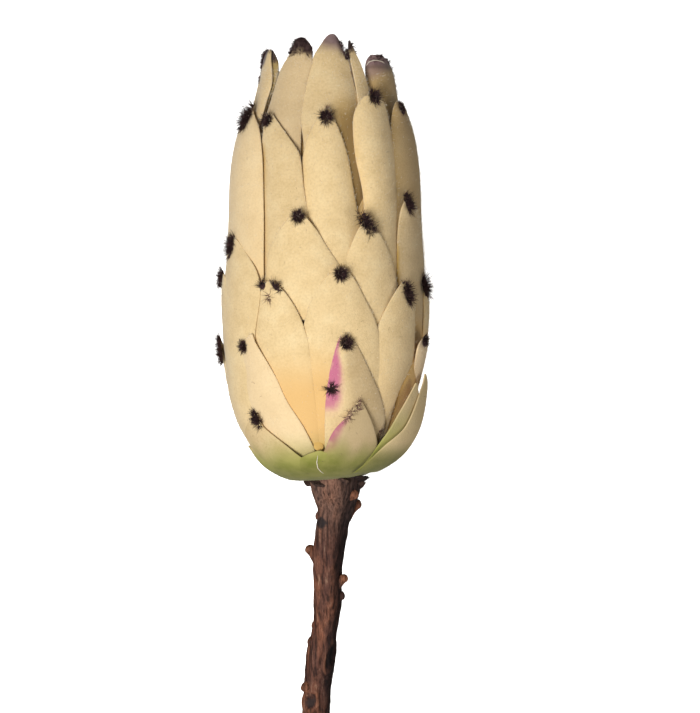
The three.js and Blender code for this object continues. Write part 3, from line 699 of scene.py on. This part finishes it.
def bract_sheets(bracts):
    """The bracts of a piece: grids bent round the head, with their tones at each point."""
    bm, layers = toned_shape(TONES)
    for bract in bracts:
        for vert in add_grid(bm, 16, 22):
            side = vert.co.x
            drop = bract["length"] * ((1 - vert.co.y) / 2) ** 1.5
            vert.co = bract_point(bract, drop, side)
            face = along(bract["profile"], bract["tip"] - drop) + bract["rise"]
            tones = bract_tones(bract, drop, side)
            tones["depth"] = face - vert.co.xy.length
            if bract["tuft"]:
                away = (vert.co - on_face(bract, *bract["tuft_at"])).length / bract["tuft"]
                tones["spot"] = 1 - smooth(0.7, 2.1, away)
            for tone, layer in layers.items():
                vert[layer] = tones[tone]
    return bm


def make_bracts(name, bracts, material, node):
    piece = lay_down(name, bract_sheets(bracts), material, node)
    add_thickness(piece, BRACT_THICKNESS, -1)
    rounding = piece.modifiers.new("rounding", "SUBSURF")
    rounding.levels = 1
    rounding.render_levels = 1


def make_core(material):
    """The dense inside of the head that closes it behind the bracts."""
    bm, layers = toned_shape(TONES)
    for vert in add_grid(bm, 72, 60):
        height = CORE_MIDDLE + CORE_HALF * vert.co.y
        vert.co = around(180 * vert.co.x, along(CORE_RADIUS, height), height)
        vert[layers["depth"]] = 4.0
        vert[layers["green"]] = 1 - smooth(4, 12, height)
    close_tube(bm)
    bmesh.ops.recalc_face_normals(bm, faces=bm.faces)
    lay_down("head_core", bm, material, "flower_head")


def make_base(material):
    """The green base that the outer bracts grow from, turned from its outline."""
    bm, layers = toned_shape(TONES)
    line = [bm.verts.new((radius, 0, height)) for radius, height in BASE_OUTLINE]
    edges = [bm.edges.new(pair) for pair in zip(line, line[1:])]
    bmesh.ops.spin(bm, geom=line + edges, cent=(0, 0, 0), axis=UP, angle=2 * math.pi,
                   steps=48, use_merge=True)
    bmesh.ops.remove_doubles(bm, verts=bm.verts, dist=0.01)
    bmesh.ops.recalc_face_normals(bm, faces=bm.faces)
    for vert in bm.verts:
        vert[layers["green"]] = 1.0
        vert[layers["dim"]] = 1.0
        vert.co = settle(vert.co)
    lay_down("green_base", bm, material, "green_bracts")


def make_pad(material):
    """The small ochre pad where the orange bracts meet at the foot of the head."""
    bm, layers = toned_shape(TONES)
    bmesh.ops.create_uvsphere(bm, u_segments=24, v_segments=12, radius=1)
    centre = around(*PAD_PLACE)
    for vert in bm.verts:
        edge = 1 + 0.15 * noise.noise(vert.co * 1.3)
        vert.co = centre + Vector((1.5 * edge * vert.co.x, 0.3 * vert.co.y, 1.4 * edge * vert.co.z))
        vert[layers["gold"]] = 0.9
    lay_down("foot_pad", bm, material, "flower_head")


# Hairs

# Hairs along a margin: bract, side, where they start and end, number
FRINGES = [
    ("folded", -1, 0.4, 6, 160), ("domed", -1, 0.6, 5, 90), ("tall", 1, 2.4, 8, 130),
    ("narrow", 1, 0.6, 4, 24), ("ragged", 1, 0.5, 12, 60),
]
# Loose sprigs: kind, bract, drop and side of the root, spread, lean, number, length, width
SPRIGS = [
    ("dark", "glowing", 2.2, -0.75, 0.5, (-1.1, 1.2), 50, 3, 0.1),
    ("dark", "glowing", 2.2, 0.4, 0.5, (0.3, 1.4), 60, 3, 0.1),
    ("dark", "glowing", 2.4, 0.65, 0.6, (0, 0), 40, 1.6, 0.1),
    ("brown", "glowing", 4.6, -0.2, 1.2, (0, -0.6), 34, 2.2, 0.07),
    ("dark", "pink_margin", 16.8, -0.82, 0.6, (0, 0), 110, 2.7, 0.09),
    ("brown", "pink_green", 1.4, -0.2, 1.6, (0, 0), 50, 2, 0.07),
    ("brown", "pink_green", 4.2, -0.8, 1.6, (-0.3, 0), 50, 2, 0.07),
    ("brown", "pink_margin", 29.4, 0.8, 0.6, (0, 0.3), 22, 1.7, 0.06),
    ("brown", "central", 0.3, 0, 0.5, (0, 1.2), 16, 2, 0.035),
    ("dark", "folded", 2.6, -0.8, 2.4, (-1.2, 0.5), 170, 1.3, 0.08),
]
# Hairs along the outline: kind, bract, the drops and the sides between which they stand, number,
# length and width
RIMS = [
    ("dark", "folded", (0.8, 6.4), (-1, -0.85), 150, 1.6, 0.08),
    ("pale", "dusky", (4, 52), (0.2, 0.8), 420, 1, 0.035),
    ("pale", "straight", (2, 36), (0.25, 0.9), 380, 1, 0.035),
    ("pale", "hot", (4, 20), (-0.7, 0.1), 120, 0.9, 0.035),
]
# Reach and number of the short hairs on the caps of the top bracts
CAP_HAIRS = {
    "domed": (5.4, 320), "folded": (1.2, 10), "ragged": (2, 80), "fold_inside": (3.4, 90),
    "narrow": (3.4, 30),
}
# Lift of the hairs' roots, which lie just under a bract's face
HAIR_SINK = -0.1
# Rolled rim on the ragged bract, and a pale thread at the foot of the head
CURL = [(11.9, -15.8, 121.2), (12.6, -15.7, 122.3), (13.8, -15, 122.8), (15, -13.9, 122.9),
        (16.4, -12.2, 122.6), (17.4, -10.9, 121.9)]
THREAD = [(-2.4, -21.2, 6.6), (-2.7, -19.4, 4.6), (-2.4, -17.3, 2.9), (-1.6, -15.8, 1.9),
          (-0.7, -14.9, 1.3)]


class Hairs:
    """Many tapered hairs that become one mesh."""

    def __init__(self, name):
        self.name = name
        self.curve = bpy.data.curves.new(name, "CURVE")
        self.curve.dimensions = "3D"
        self.curve.bevel_depth = 1.0
        self.curve.bevel_resolution = 0

    def add(self, root, way, length, width, bend, steps):
        """A hair from its root, in millimetres; bend is how far its end swings aside."""
        way = way.normalized()
        hair = self.curve.splines.new("POLY")
        hair.points.add(steps)
        for i, point in enumerate(hair.points):
            t = i / steps
            place = TO_WORLD @ (root + way * (length * t) + bend * t * t)
            place.z = max(place.z, GROUND)
            point.co = (*place, 1)
            point.radius = 0.001 * width * (1 - 0.85 * t)

    def trace(self, points, width):
        """A thread through points, in millimetres, thin at both ends."""
        hair = self.curve.splines.new("POLY")
        hair.points.add(len(points) - 1)
        for i, (point, place) in enumerate(zip(hair.points, points)):
            point.co = (*(TO_WORLD @ Vector(place)), 1)
            point.radius = 0.001 * width * (1 - abs(2 * i / (len(points) - 1) - 1) ** 3 * 0.7)

    def finish(self, material):
        drawn = bpy.data.objects.new(self.name, self.curve)
        mesh = bpy.data.meshes.new_from_object(drawn)
        bpy.data.objects.remove(drawn)
        mesh.name = self.name
        mesh.materials.clear()
        for vert in mesh.vertices:
            vert.co.z = max(vert.co.z, GROUND)
        make_piece(self.name, mesh, material, "flower_head")


def add_tuft(hairs, draw, bract, count):
    """A burst of short dark hairs that lie mostly flat near a bract's point."""
    drop, angle = bract["tuft_at"]
    wide, high = bract["tuft_line"]
    size = bract["tuft"]
    centre = on_face(bract, drop, angle)
    outward = outwards(centre)
    sideways = UP.cross(outward)
    for _ in range(count):
        turn = draw.between(0, 2 * math.pi)
        flat = sideways * math.cos(turn) + UP * math.sin(turn)
        apart = math.sqrt(draw.next())
        t = draw.spread(0.8)
        across = wide * t + 1.1 * size * apart * math.cos(turn)
        higher = high * t + 1.1 * size * apart * math.sin(turn)
        place = angle + math.degrees(across / centre.xy.length)
        root = on_face(bract, drop - higher, place) - outward * 0.3
        way = flat * (apart * draw.between(0.5, 1.3)) + outward * draw.between(0.45, 1)
        swing = flat * 0.4 + draw.stray(1, 1, 1) * 0.6 * size
        length = size * draw.between(1, 2.1)
        hairs.add(root, way, length, draw.between(0.08, 0.13), swing, 3)


def add_sprig(hairs, draw, bract, drop, side, spread, lean, count, length, width):
    """Loose hairs from one place on a bract; lean is their way along the face, right and up."""
    for _ in range(count):
        low = drop + draw.spread(spread)
        across = min(max(side + draw.spread(spread) / 9, -1), 1)
        root = bract_point(bract, max(low, 0), across, HAIR_SINK)
        outward = outwards(root)
        turn = draw.between(0, 2 * math.pi)
        way = UP.cross(outward) * (lean[0] + math.cos(turn)) + UP * (lean[1] + math.sin(turn))
        way += outward * draw.between(0.2, 0.9)
        swing = draw.stray(0.5, 0.3, 0.5)
        hairs.add(root, way, length * draw.between(0.6, 1.2), width * draw.between(0.7, 1.2),
                  swing, 4)


def add_fringe(hairs, draw, bract, side, low, high, count):
    """Dark hairs along one margin of a bract between two drops."""
    for _ in range(count):
        drop = draw.between(low, high)
        root = bract_point(bract, drop, side * draw.between(0.8, 1), HAIR_SINK)
        outward = outwards(root)
        way = UP.cross(outward) * side + outward * draw.between(0, 0.6)
        way += UP * draw.between(-0.2, 0.8)
        swing = draw.stray(0.2, 0.2, 0.4)
        hairs.add(root, way, draw.between(0.6, 1.5), draw.between(0.07, 0.11), swing, 3)


def add_cap_hairs(hairs, draw, bract, reach, count):
    """Short dark hairs over the brown cap of a standing bract."""
    for _ in range(count):
        side = draw.spread(1)
        drop = draw.between(0, reach + 1.2 * side**2)
        root = bract_point(bract, drop, side, HAIR_SINK)
        way = outwards(root) * 0.6
        way += Vector((draw.spread(0.6), draw.spread(0.5), draw.between(-0.4, 1)))
        length = draw.between(0.6, 1.3)
        swing = Vector((draw.spread(0.3), draw.spread(0.3), 0.1))
        hairs.add(root, way, length, draw.between(0.06, 0.1), swing, 3)


def add_rim_hairs(hairs, draw, bract, drops, sides, count, length, width):
    """Hairs that stand out where a bract turns away from the camera."""
    for _ in range(count):
        root = bract_point(bract, draw.between(*drops), draw.between(*sides), HAIR_SINK)
        way = outwards(root)
        way += Vector((draw.spread(0.5), draw.spread(0.5), draw.between(-0.2, 0.9)))
        swing = Vector((draw.spread(0.15), draw.spread(0.15), 0.1))
        hairs.add(root, way, length * draw.between(0.4, 1.1), width, swing, 2)


def add_fuzz(hairs, draw, bract, count):
    """Fine pale hairs of the felt, over a bract and thicker along its margins."""
    start = 5.5 if bract["whorl"] == "crown" else 0
    for _ in range(count):
        drop = start + (bract["length"] - start) * draw.next() ** 1.2 * 0.85
        side = draw.spread(1)
        if draw.next() < 0.4:
            side = math.copysign(1 - 0.05 * draw.next(), side)
        root = bract_point(bract, drop, side, -0.05)
        way = outwards(root)
        way += Vector((draw.spread(0.6), draw.spread(0.6), draw.between(-0.1, 0.9)))
        length = draw.between(0.4, 1)
        swing = Vector((draw.spread(0.15), draw.spread(0.15), 0.1))
        hairs.add(root, way, length, 0.03, swing, 1)


def add_bract_hairs(tufts, fuzz, wisps, draw, bract):
    """The tuft, cap, fuzz and odd loose hairs of one bract."""
    whorl, label = bract["whorl"], bract["label"]
    shown = "margins" in bract
    if bract["tuft"]:
        more = int(35 * math.hypot(*bract["tuft_line"]))
        add_tuft(tufts, draw, bract, 230 + more if shown else 90)
    if whorl == "crown" and label != "tall":
        add_cap_hairs(tufts, draw, bract, *CAP_HAIRS.get(label, (3.4, 80)))
    if whorl not in ("middle", "green"):
        lit = shown and whorl in ("upper", "crown") and label not in ("dusky", "ragged")
        add_fuzz(fuzz, draw, bract, 560 if lit else 200)
    if shown and whorl != "crown":
        add_sprig(wisps, draw, bract, bract["length"] * 0.35, 0, 8, (0, 0), 8, 1.1, 0.03)


def grow_hairs(whorls):
    """Every hair of the head and the two pale threads, as four pieces."""
    draw = Draw(77)
    tufts = Hairs("tuft_hairs")
    far_tufts = Hairs("far_tuft_hairs")
    fuzz = Hairs("felt_fuzz")
    wisps = Hairs("loose_hairs")
    labelled = {}
    for name in DRAW_ORDER:
        for bract in whorls[name]:
            labelled[bract["label"]] = bract
            near = "margins" in bract or not bract["tuft"]
            add_bract_hairs(tufts if near else far_tufts, fuzz, wisps, draw, bract)
    for label, *measures in FRINGES:
        add_fringe(tufts, draw, labelled[label], *measures)
    for kind, label, *measures in SPRIGS:
        add_sprig(tufts if kind == "dark" else wisps, draw, labelled[label], *measures)
    for kind, label, *measures in RIMS:
        add_rim_hairs(tufts if kind == "dark" else fuzz, draw, labelled[label], *measures)
    fuzz.trace(CURL, 0.14)
    fuzz.trace(THREAD, 0.15)
    dark = hair_finish("dark_hair")
    tufts.finish(dark)
    far_tufts.finish(dark)
    wisps.finish(hair_finish("brown_wisp"))
    fuzz.finish(hair_finish("pale_fuzz"))


# The stem

# How far down the stem, then the place of its middle there, across and back, and its radius
STEM_ROUTE = [
    (0.3, 2.6, 0, 7.2), (4, 2.7, 0.1, 6.6), (9, 2.6, 0.6, 5.4), (15, 1.6, 1.3, 4.8),
    (27, 0.4, 2.8, 4.2), (38, 0.4, 4.7, 4), (50, -1.2, 7, 4), (60, -2.4, 9, 4),
    (69, -2.9, 10.8, 4.1), (90, -3, 14.6, 4), (112, -1.6, 17.9, 3.9), (134, 0, 20, 3.9),
    (150, 0.8, 20.9, 3.9),
]
# Stubs: how far down they root, the way they point, reach, radius and pitch, then how tan they
# are, or below nought how dark
KNOBS = [
    (7.6, 55, 8.7, 1.6, 0.38, 0.4), (15.8, 97, 12.4, 1.8, 1.06, 0.1),
    (12.5, -86, 5.4, 1.9, 0.3, 0), (27.4, -82, 9.4, 1.6, 1.15, 0.45),
    (33.5, 70, 7.5, 1.5, 0.7, 0.65), (35.9, 88, 5.2, 1.9, 0.2, -0.5),
    (49.7, -88, 4.6, 2, 0.3, -0.2), (64.6, -44, 6.6, 2, 0.5, 0.5), (24, 170, 8, 1.7, 0.8, 0.6),
    (48, 205, 7.6, 1.7, 0.8, 0.4), (83, 60, 7.8, 1.7, 0.9, 0.6), (96, -60, 7.4, 1.7, 0.8, 0.5),
    (111, 96, 7.6, 1.6, 0.9, 0.7), (127, -92, 7.4, 1.7, 0.8, 0.3),
]
# Bark flakes under the head: root angle and height, tip angle, reach and height, width
FLAKES = [
    (38, -0.5, 78, 10.2, 0.3, 5), (62, -2.8, 84, 8.9, -1.2, 4), (-20, -0.9, -62, 8.6, -0.7, 5),
    (8, -1.4, 30, 8.2, -0.6, 4.4), (-62, -0.8, -100, 9, -0.3, 5), (120, -0.6, 150, 9.8, 0, 5),
    (175, -0.8, 205, 9.2, -0.2, 5), (232, -0.6, 262, 9.4, -0.2, 5),
]
# Scars on the bark that faces up: how far down, sideways place, half width and half height of
# the ring, and its slant
SCARS = [(66.4, -4.6, 2.1, 3, 0.1), (53.4, 1, 1.3, 4.6, 0.22)]
STEM_TOP = 0.3
STEM_END = 150
FLAKE_THICKNESS = 0.0006
BARK_TONES = ("groove", "shade", "tan", "wood", "collar")
# Dark patch on the bark: its place across and down, then its half width and half height
DARK_PATCH = (-1.4, -13.4, 1.8, 1.9)


def stem_centre(down):
    return Vector((along(STEM_ROUTE, down, 1), along(STEM_ROUTE, down, 2), -down))


def stem_point(down, turn):
    """Point on the bark, and how deep in a groove it lies."""
    t = (down - STEM_TOP) / (STEM_END - STEM_TOP)
    direction = (stem_centre(down + 0.3) - stem_centre(down - 0.3)).normalized()
    side = Vector((1, 0, 0)) - direction * direction.x
    side.normalize()
    up = direction.cross(side)
    ridges = 0.055 * math.sin(5 * turn + 9 * t) + 0.04 * math.sin(3 * turn - 14 * t + 1)
    swell = 0.05 * math.sin(31 * t + 2) + 0.04 * math.sin(57 * t)
    place = Vector((math.cos(turn) * 2.4, math.sin(turn) * 2.4, down * 0.07))
    bark = noise.noise(place * 1.6) * 0.07 + noise.noise(place * 4 + Vector((5, 0, 0))) * 0.05
    bark += noise.noise(place * 9 + Vector((0, 3, 0))) * 0.025
    radius = along(STEM_ROUTE, down, 3) * (1 + ridges + swell + bark)
    out = side * math.cos(turn) + up * math.sin(turn)
    point = stem_centre(down) + out * radius
    if out.y < 0:
        for low, middle, wide, high, slant in SCARS:
            higher = point.z + low
            away = math.hypot((point.x - middle - slant * higher) / wide, higher / high)
            lip = math.exp(-(((away - 1) / 0.25) ** 2))
            point += out * 0.5 * (lip - smooth(0.8, 0.4, away))
            bark += 0.09 * lip - 0.12 * smooth(0.9, 0.5, away)
    point.z += BASE_SLANT * point.x * (1 - smooth(0, 5, down))
    return point, bark


def finish_bark(name, bm, material):
    bmesh.ops.recalc_face_normals(bm, faces=bm.faces)
    return lay_down(name, bm, material, "stem")


def make_stem(material):
    """The whole bark down to the sawn end, which is bare wood."""
    bm, layers = toned_shape(BARK_TONES)
    x, z, wide, high = DARK_PATCH
    for vert in add_grid(bm, 64, 330):
        turn = math.pi * vert.co.x
        down = STEM_TOP + (STEM_END - STEM_TOP) * (1 - vert.co.y) / 2
        vert.co, bark = stem_point(down, turn)
        away = math.hypot((vert.co.x - x) / wide, (vert.co.z - z) / high)
        away += 0.35 * noise.noise(vert.co)
        patch = 0.95 * (1 - smooth(0.75, 1.15, away)) if vert.co.y < 0 else 0
        vert[layers["groove"]] = max(0.8 * smooth(0.03, 0.09, -bark), patch)
        vert[layers["collar"]] = 0.6 * (1 - smooth(6, 22, down))
        vert[layers["shade"]] = smooth(-0.1, 0.75, math.cos(turn))
        vert[layers["tan"]] = 0.55 * smooth(0.045, 0.1, bark)
    ends = close_tube(bm)
    bmesh.ops.inset_individual(bm, faces=ends, thickness=0.5, depth=-0.15)
    for face in ends:
        for vert in face.verts:
            vert[layers["wood"]] = 1.0
    finish_bark("bark_stem", bm, material)


def make_knobs(material):
    """Round-ended stubs on the stem where leaves stood."""
    bm, layers = toned_shape(BARK_TONES)
    for down, angle, reach, radius, pitch, tan in KNOBS:
        out = around(angle, 1, pitch).normalized()
        turn = UP.rotation_difference(out).to_matrix().to_4x4()
        place = Matrix.Translation(stem_centre(down)) @ turn
        for vert in add_grid(bm, 20, 18):
            t = math.sin((vert.co.y + 1) * math.pi / 4)
            spin = math.pi * vert.co.x
            waist = 1.35 - 0.5 * smooth(0.35, 0.75, t) + 0.15 * smooth(0.78, 0.9, t)
            cap = max(0.0, (t * reach - (reach - radius)) / radius)
            close = math.sqrt(max(0.0, 1 - cap**2))
            wobble = 1 + 0.14 * noise.noise(Vector((math.cos(spin), math.sin(spin), down + 3 * t)))
            ring = radius * waist * close * wobble
            vert.co = place @ Vector((ring * math.cos(spin), ring * math.sin(spin), reach * t))
            vert[layers["tan"]] = max(tan, 0) * smooth(0.55, 0.85, t)
            vert[layers["groove"]] = max(0.5 * (1 - smooth(0.5, 0.7, t)), -tan)
    bmesh.ops.remove_doubles(bm, verts=bm.verts, dist=0.01)
    finish_bark("stem_knobs", bm, material)


def make_flakes(material):
    """Pointed flakes of bark that stand off the collar under the head."""
    bm, layers = toned_shape(BARK_TONES)
    centre = stem_centre(STEM_TOP)
    for index, (angle, height, tip_angle, reach, tip_height, width) in enumerate(FLAKES):
        root = around(angle, 5, height)
        tip = around(tip_angle, reach, tip_height)
        way = (tip - root).normalized()
        broad = UP.cross(way).normalized() * 0.75 + Vector((0, 0, -0.65))
        for vert in add_grid(bm, 8, 12):
            t, side = (vert.co.y + 1) / 2, vert.co.x
            half = 0.5 * width * (1 - t) ** 0.7 * (0.75 + 0.5 * math.sin(math.pi * t))
            ragged = 0.35 * noise.noise(Vector((side * 2, t * 4, index * 3)))
            bow = around((angle + tip_angle) / 2, 1, 0) * (1.2 * math.sin(math.pi * t))
            place = root.lerp(tip, t) + bow + broad * (side * half + ragged)
            place.z = min(place.z, 0.5)
            vert.co = centre + place
            vert[layers["groove"]] = 0.85 if index == 0 else 0.8 - 0.45 * t
            vert[layers["collar"]] = 0.6
            vert[layers["shade"]] = 0.6 if index == 0 else 0.2
    add_thickness(finish_bark("collar_flakes", bm, material), FLAKE_THICKNESS, 0)


# The whole flower

whorls = whorl_bracts()
felt = felted_bract("felted_bract", 0.35)
leaf = felted_bract("green_leaf", 0.1)
bark = stem_bark()
make_core(felt)
for name, parts in BRACT_PIECES.items():
    bracts = [bract for part in parts for bract in whorls[part]]
    make_bracts(name, bracts, felt, "flower_head")
make_bracts("green_whorl", whorls["green"], leaf, "green_bracts")
grow_hairs(whorls)
make_pad(felt)
make_base(leaf)
make_stem(bark)
make_knobs(bark)
make_flakes(bark)

# Floor, light and camera

# Middle of the picture in the flower's own millimetres, and its height in metres
FRAME_CENTRE = Vector((7.06, 0, 35.7))
FRAME_HEIGHT = 0.2108
LENS = 500
SENSOR = 36
# Lamps: where each stands, what it aims at, its size, watts and colour
KEY = ((-0.62, -0.3, 1.3), (0, 0.03, 0.03), 0.7, 22, (1, 0.985, 0.955))
LOW_FILL = ((1.05, -0.7, 0.5), (0, 0.03, 0.03), 0.6, 4, (1, 0.94, 0.84))
FLOOR_WASH = ((0, 0, 2), (0, 0, 0), 3, 160, (1, 1, 1))


def make_floor():
    """A pale floor that throws no light back on the flower."""
    bm = bmesh.new()
    bmesh.ops.create_grid(bm, x_segments=1, y_segments=1, size=4)
    floor = add_object("floor", to_mesh("floor", bm))
    paint = Paint("pale_floor", 0.9)
    paint.shader.inputs["Base Color"].default_value = (0.9, 0.9, 0.9, 1)
    floor.data.materials.append(paint.material)
    floor.visible_diffuse = False
    floor.visible_glossy = False
    return floor


def make_lamp(name, place, aim, size, watts, colour):
    light = bpy.data.lights.new(name, "AREA")
    light.size = size
    light.energy = watts
    light.color = colour
    lamp = add_object(name, light)
    lamp.location = place
    lamp.rotation_euler = (Vector(aim) - Vector(place)).to_track_quat("-Z", "Y").to_euler()
    return lamp


def light_only(lamp, thing):
    """A lamp that lights one thing, and that nothing else shades."""
    lit = bpy.data.collections.new(lamp.name + "_lit")
    lit.objects.link(thing)
    lamp.light_linking.receiver_collection = lit
    lamp.light_linking.blocker_collection = bpy.data.collections.new(lamp.name + "_shading")


def make_world():
    """A little warm light from all round."""
    world = bpy.data.worlds.new("studio")
    world.use_nodes = True
    background = world.node_tree.nodes["Background"]
    background.inputs["Color"].default_value = (1, 0.97, 0.93, 1)
    background.inputs["Strength"].default_value = 0.2
    bpy.context.scene.world = world
    bpy.context.scene.view_settings.view_transform = "Standard"


def make_camera():
    """Looks down on the face of the flower, square to the axis of its head."""
    camera = bpy.data.cameras.new("camera")
    camera.lens = LENS
    camera.sensor_width = SENSOR
    camera.clip_end = 20
    holder = add_object("camera", camera)
    distance = LENS * FRAME_HEIGHT / SENSOR * 1000
    turn = Matrix.Rotation(math.radians(90), 4, "X")
    place = TO_WORLD @ Matrix.Translation(FRAME_CENTRE - Vector((0, distance, 0))) @ turn
    location, rotation, _ = place.decompose()
    holder.location = location
    holder.rotation_euler = rotation.to_euler()
    bpy.context.scene.camera = holder


floor = make_floor()
make_lamp("key", *KEY)
make_lamp("low_fill", *LOW_FILL)
light_only(make_lamp("floor_wash", *FLOOR_WASH), floor)
make_world()
make_camera()
